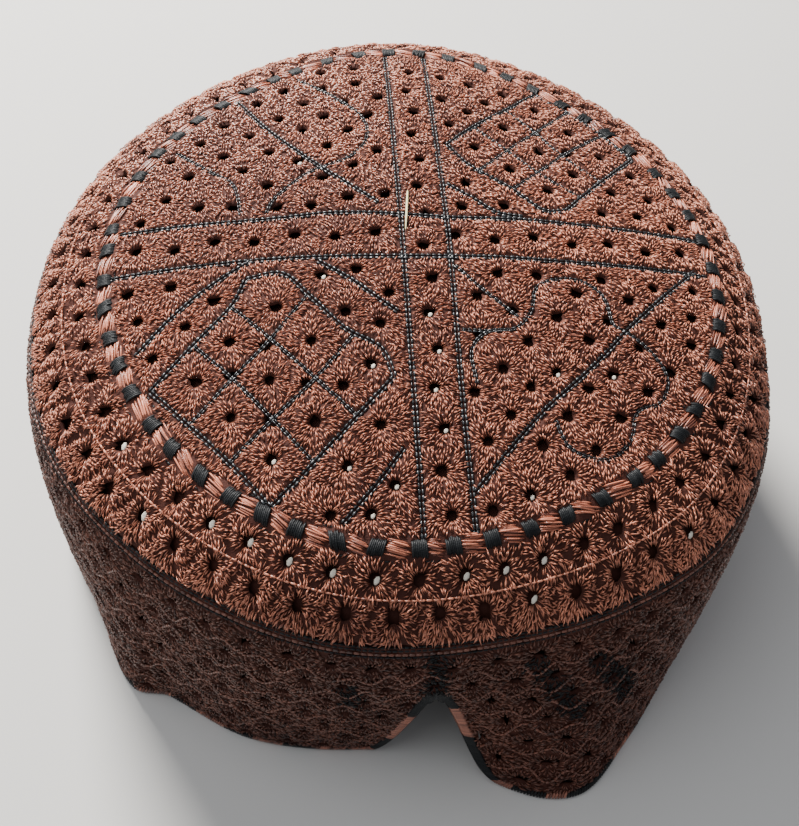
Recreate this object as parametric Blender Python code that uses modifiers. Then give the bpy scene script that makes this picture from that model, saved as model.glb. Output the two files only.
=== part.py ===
"""Sindhi cap: a domed, pierced crown on an upright band with a front notch."""
import math

import bmesh
import bpy
import numpy as np
from mathutils import Vector

mm = 0.001

# Heights above the surface that the cap stands on, in millimetres
ring_height = 85.0
dome_rise = 12.0
seam_height = 71.0

# Radii by azimuth: degrees from the front towards +X, then millimetres
ring_radii = [(-180, 72.5), (-146, 69), (-110, 70.5), (-70, 71.6), (-12, 74.2),
              (20, 72.6), (50, 73.8), (90, 73), (142, 68.6)]
seam_radii = [(-180, 90), (-90, 89), (-50, 90.6), (-10, 91.2), (12, 90.2), (30, 91.6),
              (48, 94.5), (85, 92), (130, 90)]
hem_radii = [(-180, 94), (-90, 94), (-55, 97), (-43, 98), (-38, 93), (-24, 93), (-13, 91),
             (-5, 89), (1, 88), (6, 90), (15, 100), (21, 107.5), (26, 109), (34, 103.5),
             (46, 99), (70, 96.5), (110, 94)]

# Front notch, an upside-down V in the hem
notch_azimuth = 4.0
notch_height = 46.0
notch_left_width = 6.2
notch_right_width = 9.8
notch_tip_round = 0.15
notch_foot_round = 5.8
notch_reach = 1.9

# Cloth and trims
crown_cloth = 1.2
band_cloth = 1.5
lining_cloth = 0.8
lining_gap = 1.1
trim_gap = 0.35
ring_cord_radius = 2.1
piping_radius = 1.1
binding_depth = 3.0
binding_proud = 0.6
binding_back = 2.9
hem_gap = 0.9
flare_power = 1.6
wall_bulge = 2.4
unrolled_radius = 93.0

# Eyelets
eyelet_radius = 1.0
eyelet_sides = 6
eyelet_cutter_length = 8.0
eyelet_pitch = 12.0
quarter_pitch = 13.0
quarter_margin = 6.5
band_eyelet_heights = (24.0, 52.0)
band_eyelet_step = 26.0
shoulder_eyelet_step = 18.0


def around(table, azimuth):
    """Smooth periodic value at an azimuth, through the table's rows."""
    angles = [row[0] for row in table]
    values = [row[1] for row in table]
    count = len(table)
    turned = (azimuth - angles[0]) % 360 + angles[0]
    start = max(i for i in range(count) if angles[i] <= turned)

    def knot(i):
        return angles[i % count] + 360 * (i // count), values[i % count]

    (a0, v0), (a1, v1), (a2, v2), (a3, v3) = (knot(start + k) for k in (-1, 0, 1, 2))
    span = a2 - a1
    t = (turned - a1) / span
    slope1 = (v2 - v0) / (a2 - a0) * span
    slope2 = (v3 - v1) / (a3 - a1) * span
    return (v1 * (2 * t**3 - 3 * t**2 + 1) + slope1 * (t**3 - 2 * t**2 + t)
            + v2 * (3 * t**2 - 2 * t**3) + slope2 * (t**3 - t**2))


def place(azimuth, radius, height):
    angle = math.radians(azimuth)
    return Vector((radius * math.sin(angle), -radius * math.cos(angle), height)) * mm


def crown_profile(azimuth, s):
    """Radius and height: s runs 0 at the middle, 1 at the ring, 2 at the seam."""
    ring = around(ring_radii, azimuth)
    if s <= 1:
        return ring * s, ring_height + dome_rise * (1 - s * s)
    t = s - 1
    drop = ring_height - seam_height
    return (ring + (around(seam_radii, azimuth) - ring) * t,
            ring_height - drop * (0.7 * t + 0.3 * t * t))


def wall_radius(azimuth, height):
    """The wall swells below the seam and flares towards the hem."""
    seam = around(seam_radii, azimuth)
    t = min(1.0, max(0.0, (seam_height - height) / seam_height))
    flare = (around(hem_radii, azimuth) - seam) * t**flare_power
    return seam + flare + wall_bulge * math.sin(math.pi * t)


def hem_height(u):
    """u is 0 at the notch's tip and 1 at its feet: a hyperbola with rounded feet."""
    k = notch_tip_round
    fall = (math.hypot(u, k) - k) / (math.hypot(1, k) - k)
    straight = notch_height * (1 - fall)
    height = notch_foot_round * math.log1p(math.exp(straight / notch_foot_round))
    return height if height > 0.01 else 0.0


def free_edge(notch_steps, other_steps):
    """Rows of azimuth and height along the hem, once round from the notch's left foot."""
    rows = []
    most = math.asinh(notch_reach / notch_tip_round)
    for i in range(notch_steps + 1):
        u = notch_tip_round * math.sinh(most * (2 * i / notch_steps - 1))
        width = notch_left_width if u < 0 else notch_right_width
        rows.append((notch_azimuth + width * u, hem_height(u)))
    first = rows[-1][0]
    last = rows[0][0] + 360
    for i in range(1, other_steps):
        rows.append((first + (last - first) * i / other_steps, 0.0))
    return np.array(rows)


def inset_edge(rows, depth):
    """The edge moved into the cloth by a depth, measured on the unrolled wall."""
    flat = np.column_stack((np.radians(rows[:, 0]) * unrolled_radius, rows[:, 1]))
    turn = np.array((2 * math.pi * unrolled_radius, 0))
    after = np.vstack((flat[1:], flat[:1] + turn))
    before = np.vstack((flat[-1:] - turn, flat[:-1]))
    along = after - before
    along /= np.linalg.norm(along, axis=1)[:, None]
    moved = flat + depth * np.column_stack((-along[:, 1], along[:, 0]))
    return np.column_stack((np.degrees(moved[:, 0] / unrolled_radius), moved[:, 1]))


def top_azimuths(rows):
    """Where each column of the wall starts at the seam: half by azimuth, half by length."""
    flat = np.column_stack((np.radians(rows[:, 0]) * unrolled_radius, rows[:, 1]))
    steps = np.linalg.norm(np.diff(flat, axis=0), axis=1)
    length = np.concatenate(([0], np.cumsum(steps)))
    closing = np.radians(rows[0, 0] + 360 - rows[-1, 0]) * unrolled_radius
    share = length / (length[-1] + closing)
    middle = notch_azimuth - 360 * np.interp(notch_azimuth, rows[:, 0], share)
    return 0.5 * rows[:, 0] + 0.5 * (middle + 360 * share)


def cloth_material(name, color, roughness):
    material = bpy.data.materials.new(name)
    material.use_nodes = True
    shader = material.node_tree.nodes["Principled BSDF"]
    shader.inputs["Base Color"].default_value = (*color, 1)
    shader.inputs["Roughness"].default_value = roughness
    shader.inputs["Metallic"].default_value = 0
    return material


def add_mesh(name, mesh, collection, material=None):
    thing = bpy.data.objects.new(name, mesh)
    collection.objects.link(thing)
    if material:
        mesh.materials.append(material)
        mesh.shade_smooth()
        mesh.set_sharp_from_angle(angle=math.radians(50))
    return thing


def grid_mesh(name, rows, closed_section=False, pole=None):
    """A surface over rings of points, listed from the top ring down."""
    work = bmesh.new()
    rings = [[work.verts.new(point) for point in row] for row in rows]
    count = len(rings[0])
    pairs = list(zip(rings, rings[1:]))
    if closed_section:
        pairs.append((rings[-1], rings[0]))
    for upper, lower in pairs:
        for i in range(count):
            j = (i + 1) % count
            work.faces.new((upper[i], lower[i], lower[j], upper[j]))
    if pole is not None:
        tip = work.verts.new(pole)
        for i in range(count):
            work.faces.new((tip, rings[0][i], rings[0][(i + 1) % count]))
    mesh = bpy.data.meshes.new(name)
    work.to_mesh(mesh)
    work.free()
    return mesh


def thicken(thing, thickness):
    shell = thing.modifiers.new("cloth", "SOLIDIFY")
    shell.thickness = thickness * mm
    shell.offset = -1
    shell.use_even_offset = True


def pierce(thing, points, collection):
    """Cuts an eyelet along each (position, normal)."""
    work = bmesh.new()
    for position, normal in points:
        matrix = normal.to_track_quat("Z", "Y").to_matrix().to_4x4()
        matrix.translation = position
        bmesh.ops.create_cone(work, cap_ends=True, segments=eyelet_sides,
                              radius1=eyelet_radius * mm, radius2=eyelet_radius * mm,
                              depth=eyelet_cutter_length * mm, matrix=matrix)
    mesh = bpy.data.meshes.new(thing.name + "_eyelets")
    work.to_mesh(mesh)
    work.free()
    cutter = add_mesh(mesh.name, mesh, collection)
    cutter.hide_render = True
    cutter.display_type = "WIRE"
    cut = thing.modifiers.new("eyelets", "BOOLEAN")
    cut.operation = "DIFFERENCE"
    cut.solver = "EXACT"
    cut.object = cutter


def crown_point(azimuth, s):
    radius, height = crown_profile(azimuth, s)
    return place(azimuth, radius, height)


def crown_normal(azimuth, s):
    across = crown_point(azimuth, s + 0.02) - crown_point(azimuth, s - 0.02)
    along = crown_point(azimuth + 1, s) - crown_point(azimuth - 1, s)
    return across.cross(along).normalized()


def crown_place(x, y):
    """Azimuth and s of a plan position on the dome."""
    azimuth = math.degrees(math.atan2(x, -y))
    return azimuth, math.hypot(x, y) / around(ring_radii, azimuth)


def crown_eyelets():
    """Two rows along the cross, a diagonal net in each quarter, one row on the shoulder."""
    places = []
    reach = int(66 / eyelet_pitch)
    for i in range(-reach, reach + 1):
        places.append(crown_place(i * eyelet_pitch, 0))
        if i:
            places.append(crown_place(0, i * eyelet_pitch))
    step = quarter_pitch / math.sqrt(2)
    for i in range(-8, 9):
        for j in range(-8, 9):
            x, y = i * step, j * step
            outside = abs(x) < quarter_margin or abs(y) < quarter_margin
            if (i + j) % 2 or outside or crown_place(x, y)[1] > 0.91:
                continue
            places.append(crown_place(x, y))
    azimuth = 0.0
    while azimuth < 360:
        places.append((azimuth, 1.55))
        azimuth += shoulder_eyelet_step
    return [(crown_point(*p), crown_normal(*p)) for p in places]


def make_crown_panel(parts, cutters):
    columns = 42
    azimuths = [360 * i / columns for i in range(columns)]
    steps = (0.18, 0.38, 0.6, 0.82, 1, 1.3, 1.65, 2)
    rows = [[crown_point(a, s) for a in azimuths] for s in steps]
    mesh = grid_mesh("crown_panel", rows, pole=crown_point(0, 0))
    panel = add_mesh("crown_panel", mesh, parts,
                     cloth_material("crown_cloth", (0.30, 0.12, 0.07), 0.5))
    thicken(panel, crown_cloth)
    pierce(panel, crown_eyelets(), cutters)


def make_tube(name, points, radius, parts, material):
    curve = bpy.data.curves.new(name, "CURVE")
    curve.dimensions = "3D"
    curve.bevel_depth = radius * mm
    curve.bevel_resolution = 1
    line = curve.splines.new("POLY")
    line.points.add(len(points) - 1)
    for target, point in zip(line.points, points):
        target.co = (*point, 1)
    line.use_cyclic_u = True
    curve.materials.append(material)
    parts.objects.link(bpy.data.objects.new(name, curve))


def make_crown_ring(parts):
    """The cord lies along the ridge between dome and shoulder."""
    points = []
    count = 56
    for i in range(count):
        azimuth = 360 * i / count
        lean = (crown_normal(azimuth, 0.96) + crown_normal(azimuth, 1.04)).normalized()
        seat = (ring_cord_radius + trim_gap) * mm
        points.append(crown_point(azimuth, 1) + lean * seat)
    make_tube("crown_ring", points, ring_cord_radius, parts,
              cloth_material("ring_satin", (0.45, 0.18, 0.11), 0.4))


def make_seam_piping(parts):
    points = []
    count = 56
    for i in range(count):
        azimuth = 360 * i / count
        radius = around(seam_radii, azimuth) + piping_radius + trim_gap
        points.append(place(azimuth, radius, seam_height - 0.7))
    make_tube("seam_piping", points, piping_radius, parts,
              cloth_material("piping_chain", (0.02, 0.02, 0.022), 0.6))


def wall_rows(notch_steps, other_steps, depth, top, row_count, inset):
    """Rings of points down the wall, from a top height to the inset edge."""
    edge = free_edge(notch_steps, other_steps)
    upper = top_azimuths(edge)
    lower = inset_edge(edge, depth)
    rows = []
    for k in range(row_count + 1):
        t = k / row_count
        ring = []
        for i in range(len(edge)):
            azimuth = upper[i] + (lower[i, 0] - upper[i]) * t
            height = top + (lower[i, 1] - top) * t
            ring.append(place(azimuth, wall_radius(azimuth, height) - inset, height))
        rows.append(ring)
    return rows, upper


def band_eyelets():
    places = []
    for row, height in enumerate(band_eyelet_heights):
        azimuth = 24.0 + band_eyelet_step / 2 * row
        while azimuth < 350:
            radius = wall_radius(azimuth, height)
            outward = place(azimuth, 1 / mm, 0)
            places.append((place(azimuth, radius, height), outward))
            azimuth += band_eyelet_step
    return places


def make_side_band(parts, cutters):
    rows, _ = wall_rows(30, 54, binding_depth + hem_gap, seam_height - 1.4, 5, 0)
    band = add_mesh("side_band", grid_mesh("side_band", rows), parts,
                    cloth_material("band_cloth", (0.20, 0.085, 0.055), 0.55))
    thicken(band, band_cloth)
    pierce(band, band_eyelets(), cutters)


def make_hem_binding(parts):
    """An eight-sided strip bound over the free edge, flat where it meets the floor."""
    edge = free_edge(30, 54)
    proud, back = binding_proud, -binding_back
    section = [(proud - 0.4, 0), (proud, 0.8), (proud, 2.2), (proud - 0.4, binding_depth),
               (back + 0.4, binding_depth), (back, 2.2), (back, 0.8), (back + 0.4, 0)]
    rows = []
    for out, depth in reversed(section):
        line = inset_edge(edge, depth)
        rows.append([place(a, wall_radius(a, h) + out, h) for a, h in line])
    mesh = grid_mesh("hem_binding", rows, closed_section=True)
    add_mesh("hem_binding", mesh, parts, cloth_material("binding", (0.05, 0.03, 0.028), 0.55))


def make_lining(parts):
    """One shell inside the band and crown, set back behind the crown's eyelets."""
    wall_inset = band_cloth + lining_gap
    rows, azimuths = wall_rows(30, 34, binding_depth + hem_gap, seam_height - 2.6, 3, wall_inset)
    above = []
    for s, drop in ((0.3, 2.9), (0.65, 2.9), (1, 2.9), (1.5, 3.0)):
        ring = []
        for azimuth in azimuths:
            radius, height = crown_profile(azimuth, s)
            ring.append(place(azimuth, radius - (0.8 if s >= 1 else 0), height - drop))
        above.append(ring)
    tip = place(0, 0, ring_height + dome_rise - 2.9)
    mesh = grid_mesh("lining", above + rows, pole=tip)
    lining = add_mesh("lining", mesh, parts, cloth_material("cotton", (0.80, 0.76, 0.66), 0.8))
    thicken(lining, lining_cloth)


def base_middle():
    """The middle of the box round the hem, which the whole cap is moved back by."""
    edge = free_edge(30, 54)
    points = [place(a, wall_radius(a, h) + binding_proud - 0.4, h) for a, h in edge]
    xs = [point.x for point in points]
    ys = [point.y for point in points]
    return Vector(((min(xs) + max(xs)) / 2, (min(ys) + max(ys)) / 2, 0))


def main():
    for thing in list(bpy.data.objects):
        bpy.data.objects.remove(thing, do_unlink=True)
    parts = bpy.data.collections.new("sindhi_cap")
    cutters = bpy.data.collections.new("cutters")
    for collection in (parts, cutters):
        bpy.context.scene.collection.children.link(collection)
    make_crown_panel(parts, cutters)
    make_crown_ring(parts)
    make_side_band(parts, cutters)
    make_seam_piping(parts)
    make_hem_binding(parts)
    make_lining(parts)
    carrier = bpy.data.objects.new("base", None)
    carrier.location = -base_middle()
    parts.objects.link(carrier)
    for thing in [*parts.objects, *cutters.objects]:
        if thing != carrier:
            thing.parent = carrier


main()
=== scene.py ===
import math

import bpy
import numpy as np
from mathutils import Matrix, Vector


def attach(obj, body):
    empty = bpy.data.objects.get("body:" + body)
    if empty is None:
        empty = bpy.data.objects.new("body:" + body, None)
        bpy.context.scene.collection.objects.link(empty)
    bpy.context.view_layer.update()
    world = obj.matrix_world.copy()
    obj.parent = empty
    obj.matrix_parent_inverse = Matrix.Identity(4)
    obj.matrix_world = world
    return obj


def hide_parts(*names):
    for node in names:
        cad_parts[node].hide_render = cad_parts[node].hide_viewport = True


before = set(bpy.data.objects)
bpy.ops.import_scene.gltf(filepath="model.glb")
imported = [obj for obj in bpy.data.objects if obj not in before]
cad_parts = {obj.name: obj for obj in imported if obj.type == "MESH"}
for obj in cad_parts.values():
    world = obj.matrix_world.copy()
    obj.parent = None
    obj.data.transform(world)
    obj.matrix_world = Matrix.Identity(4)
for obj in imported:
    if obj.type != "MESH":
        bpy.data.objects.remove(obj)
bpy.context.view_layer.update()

# Shapes are worked out in millimetres and put into the meshes in metres
mm = 0.001

# Shape of the cap: its plan radii, heights and notch
capShape = {
    "ringHeight": 85.0,
    "domeRise": 12.0,
    "seamHeight": 71.0,
    # rows of azimuth from the front towards +X in degrees, then radius
    "ringRadii": [(-180, 72.5), (-146, 69), (-110, 70.5), (-70, 71.6), (-12, 74.2),
                  (20, 72.6), (50, 73.8), (90, 73), (142, 68.6)],
    "seamRadii": [(-180, 91), (-130, 89), (-90, 90.4), (-64, 93), (-42, 92.2), (-12, 92.1),
                  (12, 91), (30, 92.9), (46, 95.5), (60, 94), (85, 89.8), (130, 89.7)],
    "hemRadii": [(-180, 94), (-125, 93), (-90, 91), (-70, 91), (-56, 91.5), (-43, 97.5),
                 (-38, 93), (-24, 92), (-13, 89.3), (-5, 87.5), (1, 88), (6, 89), (15, 100),
                 (21, 107.3), (26, 109.4), (34, 104.3), (46, 98.3), (62, 95), (90, 92),
                 (130, 93)],
    "seamTuck": 2.0,
    "tuckHeight": 6.0,
    "seamDrop": 1.9,
    "middle": (-0.5, 3.12),
    "flarePower": 1.6,
    "wallBulge": 0.9,
    "unrolledRadius": 93.0,
    "notchAzimuth": 4.0,
    "notchHeight": 46.0,
    "notchLeftWidth": 6.2,
    "notchRightWidth": 8.8,
    "notchTipRound": 0.15,
    "notchFootRound": 5.8,
    "notchReach": 1.9,
    # shares of the shoulder's fall that grow with the way down and with its square
    "shoulderFall": (0.7, 0.3),
}
wallPeriod = 2 * math.pi * capShape["unrolledRadius"]
middle = capShape["middle"]
rng = np.random.default_rng(57)


# A smooth periodic curve through the table's rows, read at many azimuths at once
def around(table, azimuth):
    angles = np.array([row[0] for row in table], float)
    values = np.array([row[1] for row in table], float)
    count = len(table)
    turned = (np.asarray(azimuth, float) - angles[0]) % 360 + angles[0]
    start = np.searchsorted(angles, turned, side="right") - 1

    def knot(i):
        return angles[i % count] + 360 * (i // count), values[i % count]

    (a0, v0), (a1, v1), (a2, v2), (a3, v3) = (knot(start + k) for k in (-1, 0, 1, 2))
    t = (turned - a1) / (a2 - a1)
    slope1 = (v2 - v0) / (a2 - a0) * (a2 - a1)
    slope2 = (v3 - v1) / (a3 - a1) * (a2 - a1)
    return (v1 * (2 * t**3 - 3 * t**2 + 1) + slope1 * (t**3 - 2 * t**2 + t)
            + v2 * (3 * t**2 - 2 * t**3) + slope2 * (t**3 - t**2))


def smoothStep(t):
    t = np.clip(t, 0, 1)
    return t * t * (3 - 2 * t)


def ringAt(azimuth):
    return around(capShape["ringRadii"], azimuth)


def seamAt(azimuth):
    return around(capShape["seamRadii"], azimuth)


def azimuthOf(x, y):
    return np.degrees(np.arctan2(x, -y))


# Plan point at an azimuth and a radius
def planPoint(azimuth, radius):
    angle = np.radians(azimuth)
    return np.stack((radius * np.sin(angle), -radius * np.cos(angle)), -1)


# Unrolled wall: azimuth to length along it and back
def unroll(rows):
    return np.column_stack((np.radians(rows[:, 0]) * capShape["unrolledRadius"], rows[:, 1]))


def rollUp(length):
    return np.degrees(length / capShape["unrolledRadius"])


# The wall is tucked in at the seam, swells below it, and flares by a power of the way
# down to the hem
def wallRadius(azimuth, height):
    seam = seamAt(azimuth)
    t = np.clip((capShape["seamHeight"] - height) / capShape["seamHeight"], 0, 1)
    flare = (around(capShape["hemRadii"], azimuth) - seam) * t**capShape["flarePower"]
    tuck = capShape["seamTuck"] * np.exp(-t * capShape["seamHeight"]
                                         / capShape["tuckHeight"])
    return seam + flare + capShape["wallBulge"] * np.sin(np.pi * t) - tuck


# Height of the hem: u is 0 at the notch's tip and 1 at its feet, a hyperbola with soft feet
def hemHeight(azimuth):
    gap = np.asarray(azimuth, float) - capShape["notchAzimuth"]
    gap = (gap + 180) % 360 - 180
    width = np.where(gap < 0, capShape["notchLeftWidth"], capShape["notchRightWidth"])
    u, k = gap / width, capShape["notchTipRound"]
    fall = (np.hypot(u, k) - k) / (math.hypot(1, k) - k)
    straight = capShape["notchHeight"] * (1 - fall)
    foot = capShape["notchFootRound"]
    height = foot * np.log1p(np.exp(np.clip(straight / foot, -40, 40)))
    return np.where(height > 0.01, height, 0.0)


# Azimuth and height along the hem once round, close together at the notch's tip
def freeEdge(notchSteps, otherSteps):
    k = capShape["notchTipRound"]
    most = math.asinh(capShape["notchReach"] / k)
    u = k * np.sinh(np.linspace(-most, most, notchSteps + 1))
    width = np.where(u < 0, capShape["notchLeftWidth"], capShape["notchRightWidth"])
    notch = capShape["notchAzimuth"] + width * u
    rest = np.linspace(notch[-1], notch[0] + 360, otherSteps + 1)[1:-1]
    azimuth = np.concatenate((notch, rest))
    return np.column_stack((azimuth, hemHeight(azimuth)))


# The edge moved into the cloth by a depth, measured on the unrolled wall
def insetEdge(rows, depth):
    flat = unroll(rows)
    turn = np.array((wallPeriod, 0))
    after = np.vstack((flat[1:], flat[:1] + turn))
    before = np.vstack((flat[-1:] - turn, flat[:-1]))
    along = after - before
    along /= np.linalg.norm(along, axis=1)[:, None]
    moved = flat + depth * np.column_stack((-along[:, 1], along[:, 0]))
    return np.column_stack((rollUp(moved[:, 0]), moved[:, 1]))


def cylinderPoint(azimuth, radius, height):
    angle = np.radians(azimuth)
    return np.stack((radius * np.sin(angle) - middle[0],
                     -radius * np.cos(angle) - middle[1],
                     height + 0 * angle), -1)


# A parabola over the flat of the top, then a shoulder that steepens down to the seam
def crownHeight(x, y):
    radius = np.hypot(x, y)
    azimuth = azimuthOf(x, y)
    ring, seam = ringAt(azimuth), seamAt(azimuth)
    t = np.maximum(0, (radius - ring) / (seam - ring))
    s = np.minimum(1, radius / ring)
    drop = capShape["ringHeight"] - capShape["seamHeight"]
    edge = capShape["seamDrop"] * smoothStep((t - 0.55) / 0.4)
    even, bent = capShape["shoulderFall"]
    fall = even * t + bent * t * t
    return capShape["ringHeight"] + capShape["domeRise"] * (1 - s * s) - drop * fall - edge


# Crown surface over plan x and y, and wall surface over unrolled length and height
def crownSurface(p):
    return np.stack((p[..., 0] - middle[0], p[..., 1] - middle[1],
                     crownHeight(p[..., 0], p[..., 1])), -1)


def wallSurface(p):
    azimuth = rollUp(p[..., 0])
    return cylinderPoint(azimuth, wallRadius(azimuth, p[..., 1]), p[..., 1])


def unit(v):
    return v / np.maximum(np.linalg.norm(v, axis=-1, keepdims=True), 1e-9)


# Outward normal: the cross product of the surface's two small steps
def surfaceNormal(surface, p, step=0.6):
    first = surface(p + (step, 0)) - surface(p - (step, 0))
    second = surface(p + (0, step)) - surface(p - (0, step))
    return unit(np.cross(first, second))


def makeObject(name, points, faces, material, tint=None):
    mesh = bpy.data.meshes.new(name)
    faces = np.asarray(faces, np.int32)
    sides = faces.shape[1]
    mesh.vertices.add(len(points))
    mesh.vertices.foreach_set("co", (np.asarray(points) * mm).astype(np.float32).ravel())
    mesh.loops.add(faces.size)
    mesh.loops.foreach_set("vertex_index", faces.ravel())
    mesh.polygons.add(len(faces))
    mesh.polygons.foreach_set("loop_start", np.arange(0, faces.size, sides, dtype=np.int32))
    mesh.update(calc_edges=True)
    mesh.validate()
    if tint is not None:
        layer = mesh.attributes.new("tint", "FLOAT", "POINT")
        layer.data.foreach_set("value", np.asarray(tint, np.float32))
    mesh.polygons.foreach_set("use_smooth", np.full(len(mesh.polygons), True))
    mesh.materials.append(material)
    thing = bpy.data.objects.new(name, mesh)
    bpy.context.scene.collection.objects.link(thing)
    return thing


# Faces of a grid of rows and columns, closed round the columns when wrapped
def gridFaces(rowCount, columnCount, wrap=False, closeRows=False):
    r = np.arange(rowCount if closeRows else rowCount - 1)
    c = np.arange(columnCount if wrap else columnCount - 1)
    r, c = np.meshgrid(r, c, indexing="ij")
    nextRow, nextColumn = (r + 1) % rowCount, (c + 1) % columnCount
    return np.stack((r * columnCount + c, nextRow * columnCount + c,
                     nextRow * columnCount + nextColumn, r * columnCount + nextColumn),
                    -1).reshape(-1, 4)


def thicken(thing, thickness):
    shell = thing.modifiers.new("cloth", "SOLIDIFY")
    shell.thickness = thickness * mm
    shell.offset = -1
    return shell


def place(thing, slot, *nodes):
    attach(thing, "root")
    if nodes:
        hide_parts(*nodes)


# Nearest centre to each point, and the distances to the nearest two
def nearestCentres(points, centres, period=None):
    index = np.empty(len(points), int)
    near = np.empty((len(points), 2))
    for start in range(0, len(points), 4096):
        part = points[start:start + 4096]
        gap = part[:, None, :] - centres[None, :, :]
        if period:
            gap[..., 0] = (gap[..., 0] + period / 2) % period - period / 2
        distance = np.hypot(gap[..., 0], gap[..., 1])
        order = np.argpartition(distance, 1, axis=1)[:, :2]
        two = np.take_along_axis(distance, order, 1)
        swap = np.argsort(two, axis=1)
        near[start:start + 4096] = np.take_along_axis(two, swap, 1)
        index[start:start + 4096] = np.take_along_axis(order, swap, 1)[:, 0]
    return index, near


# Least distance from each point to any of the segments
def lineGap(points, lines):
    starts = np.vstack([line[:-1] for line in lines])
    ends = np.vstack([line[1:] for line in lines])
    run = ends - starts
    length = np.maximum((run**2).sum(1), 1e-9)
    gap = np.empty(len(points))
    for first in range(0, len(points), 4096):
        part = points[first:first + 4096]
        offset = part[:, None, :] - starts
        t = np.clip((offset * run).sum(-1) / length, 0, 1)
        away = offset - t[..., None] * run
        gap[first:first + 4096] = np.hypot(away[..., 0], away[..., 1]).min(1)
    return gap


def resample(line, pitch):
    length = np.concatenate(([0], np.cumsum(np.hypot(*np.diff(line, axis=0).T))))
    at = np.linspace(0, length[-1], max(2, round(length[-1] / pitch)) + 1)
    return np.column_stack([np.interp(at, length, line[:, k]) for k in (0, 1)])


# A line through a few points, rounded by a cubic, at an even pitch
def smoothLine(points, pitch):
    p = np.asarray(points, float)
    p = np.vstack((2 * p[:1] - p[1:2], p, 2 * p[-1:] - p[-2:-1]))
    t = np.linspace(0, 1, 24, endpoint=False)[None, :, None]
    a, b, c, d = (p[i:len(p) - 3 + i, None, :] for i in range(4))
    fine = 0.5 * (2 * b + (c - a) * t + (2 * a - 5 * b + 4 * c - d) * t**2
                  + (3 * b - a - 3 * c + d) * t**3)
    return resample(np.vstack((fine.reshape(-1, 2), p[-2:-1])), pitch)


# Strands: each is a closed tube from pole to pole. Its path runs on the surface from start
# to end; a row of its form holds the share of the way, the girth and the height of the arch.
# Lift, arch, radius and tint are one number for all, or one for each
def strands(name, surface, start, end, lift, arch, radius, form, material, tint):
    share, girth, height = (np.array(column) for column in zip(*form["rows"]))
    sides, rings, count = form["sides"], len(share) - 2, len(start)
    lift, arch, radius, tint = (np.broadcast_to(np.asarray(value, float), count)
                                for value in (lift, arch, radius, tint))
    flat = start[:, None, :] + (end - start)[:, None, :] * share[None, :, None]
    up = surfaceNormal(surface, flat)
    path = surface(flat) + up * (lift[:, None] + arch[:, None] * height)[..., None]
    across = unit(np.cross(up, np.gradient(path, axis=1)))
    turn = np.arange(sides) * 2 * math.pi / sides + math.pi / 2
    ring = (across[:, 1:-1, None] * np.cos(turn)[:, None]
            + up[:, 1:-1, None] * np.sin(turn)[:, None] * form["flat"])
    ring = path[:, 1:-1, None] + ring * (radius[:, None] * girth[1:-1])[..., None, None]
    points = np.concatenate((path[:, :1], ring.reshape(count, -1, 3), path[:, -1:]), 1)
    j = np.arange(sides)
    after = (j + 1) % sides
    last = 1 + rings * sides
    faces = [np.column_stack((0 * j, 1 + after, 1 + j)),
             np.column_stack((0 * j + last, last - sides + j, last - sides + after))]
    for i in range(rings - 1):
        a, b = 1 + i * sides, 1 + (i + 1) * sides
        faces += [np.column_stack((a + j, a + after, b + after)),
                  np.column_stack((a + j, b + after, b + j))]
    faces = np.vstack(faces)[None] + np.arange(count)[:, None, None] * (last + 1)
    return makeObject(name, points.reshape(-1, 3), faces.reshape(-1, 3), material,
                      np.repeat(tint, last + 1))


grainForm = {"sides": 3, "flat": 0.9, "rows": [(0, 0, 0), (0.5, 1, 1), (1, 0, 0)]}
beadForm = {"sides": 5, "flat": 0.9,
            "rows": [(0, 0, 0), (0.25, 0.9, 0.85), (0.72, 0.9, 0.85), (1, 0, 0)]}
cordForm = {"sides": 6, "flat": 0.9,
            "rows": [(0, 0, -0.2), (0.1, 0.8, 0.35), (0.32, 1, 0.92), (0.68, 1, 0.92),
                     (0.9, 0.8, 0.35), (1, 0, -0.2)]}


# A slow wander of the stitches' direction, in radians: two sines, each bent by another
def swirl(p):
    return (0.3 * np.sin(0.42 * p[:, 0] + 1.9 * np.sin(0.27 * p[:, 1]))
            + 0.25 * np.sin(0.51 * p[:, 1] + 1.3 * np.sin(0.33 * p[:, 0])))


# Rings of short stitches that point at their eyelet, each kept only where that eyelet is
# the nearest one. Gives the two ends of each stitch
def flower(centres, spec, keep, period=None):
    starts, ends = [], []
    grown = rng.uniform(*spec["grown"], len(centres))[:, None]
    for k in range(spec["rings"]):
        radius = spec["first"] + k * spec["ringStep"]
        count = max(8, round(2 * math.pi * radius / spec["spacing"]))
        angle = (rng.random(len(centres))[:, None]
                 + np.arange(count)[None, :] / count) * 2 * math.pi
        angle = angle + rng.normal(0, spec["angleSpread"] / count, angle.shape)
        far = radius + grown + rng.normal(0, spec["radiusSpread"] * min(1, 0.3 + k),
                                          angle.shape)
        direction = np.stack((np.cos(angle), np.sin(angle)), -1)
        point = (centres[:, None, :] + direction * far[..., None]).reshape(-1, 2)
        own = np.repeat(np.arange(len(centres)), count)
        index, near = nearestCentres(point, centres, period)
        wander = swirl(point) * min(1, k / 2) + rng.normal(0, spec["lean"], angle.size)
        angle = angle.ravel() + wander
        along = np.stack((np.cos(angle), np.sin(angle)), -1)
        half = spec["length"] / 2 * (1 + rng.normal(0, 0.15, angle.size))
        hole = np.broadcast_to(spec["hole"] + grown, far.shape)
        inner = np.minimum(half, (far - hole).ravel())
        good = (index == own) & (near[:, 1] - near[:, 0] > -0.01) & keep(point)
        starts.append((point - along * inner[:, None])[good])
        ends.append((point + along * half[:, None])[good])
    return np.vstack(starts), np.vstack(ends)


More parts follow.
